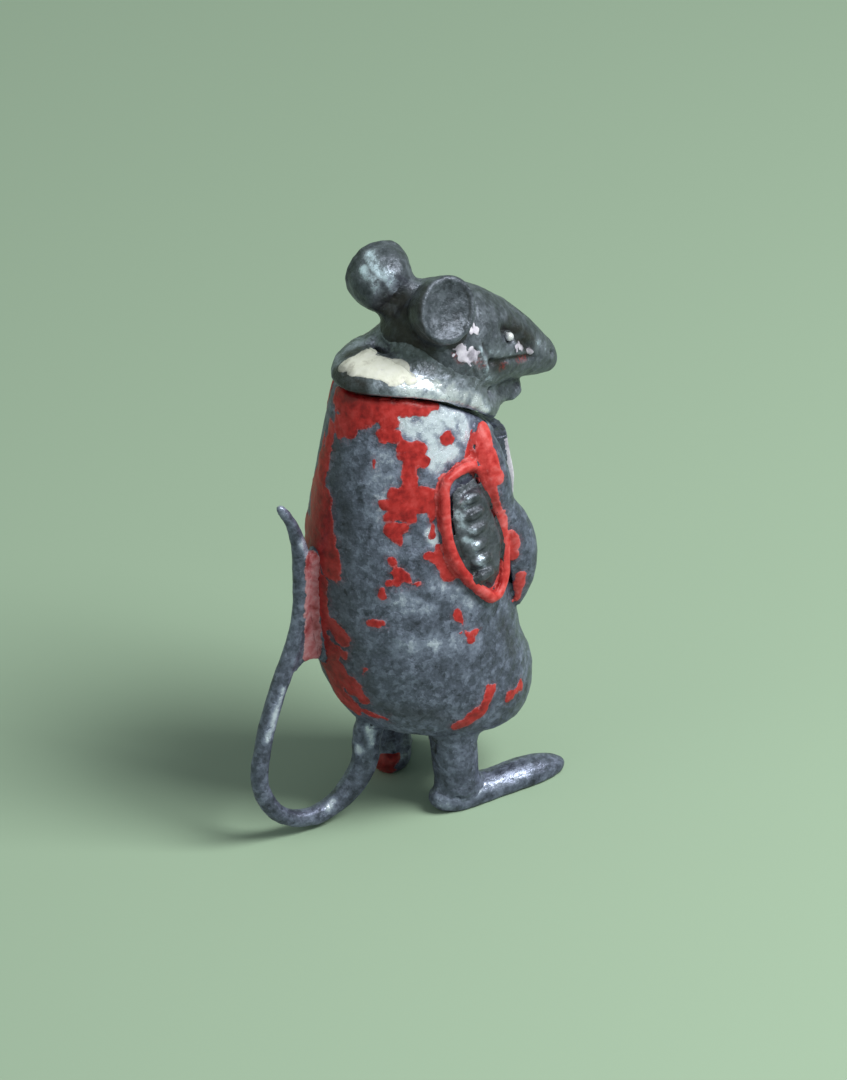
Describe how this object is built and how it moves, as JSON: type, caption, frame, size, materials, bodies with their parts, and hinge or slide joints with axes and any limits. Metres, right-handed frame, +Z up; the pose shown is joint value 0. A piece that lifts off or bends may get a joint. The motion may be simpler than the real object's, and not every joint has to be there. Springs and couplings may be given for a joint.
{
  "type": "mouse figurine",
  "caption": "Standing mouse figurine in a long coat with a leaning collar, leaf-shaped cuffs, long feet and a looped tail; a small painted cast-metal ornament.",
  "frame": {"origin": "on the ground, under the middle of the figure's bounding box", "axes": "+X forward (the way the coat faces), +Y the mouse's left, +Z up"},
  "size_m": [0.0392, 0.0272, 0.0593],
  "materials": {
    "red_paint": "old red enamel, mostly worn to the bare grey casting",
    "white_paint": "old cream-white enamel, partly worn away",
    "bare_metal": "bare lead-tin casting alloy, oxidised dark grey with rubbed bright spots",
    "eye_metal": "small bright pin head"
  },
  "bodies": {
    "root": {"coat": "red_paint", "shirt_front": "white_paint", "collar": "white_paint", "head": "bare_metal", "tail": "bare_metal", "right_ear": "bare_metal", "left_ear": "bare_metal", "right_eye": "eye_metal", "left_eye": "eye_metal", "right_sleeve": "red_paint", "left_sleeve": "red_paint", "right_paw": "bare_metal", "left_paw": "bare_metal", "right_leg": "bare_metal", "left_leg": "bare_metal", "right_foot": "bare_metal", "left_foot": "bare_metal"}
  },
  "joints": []
}
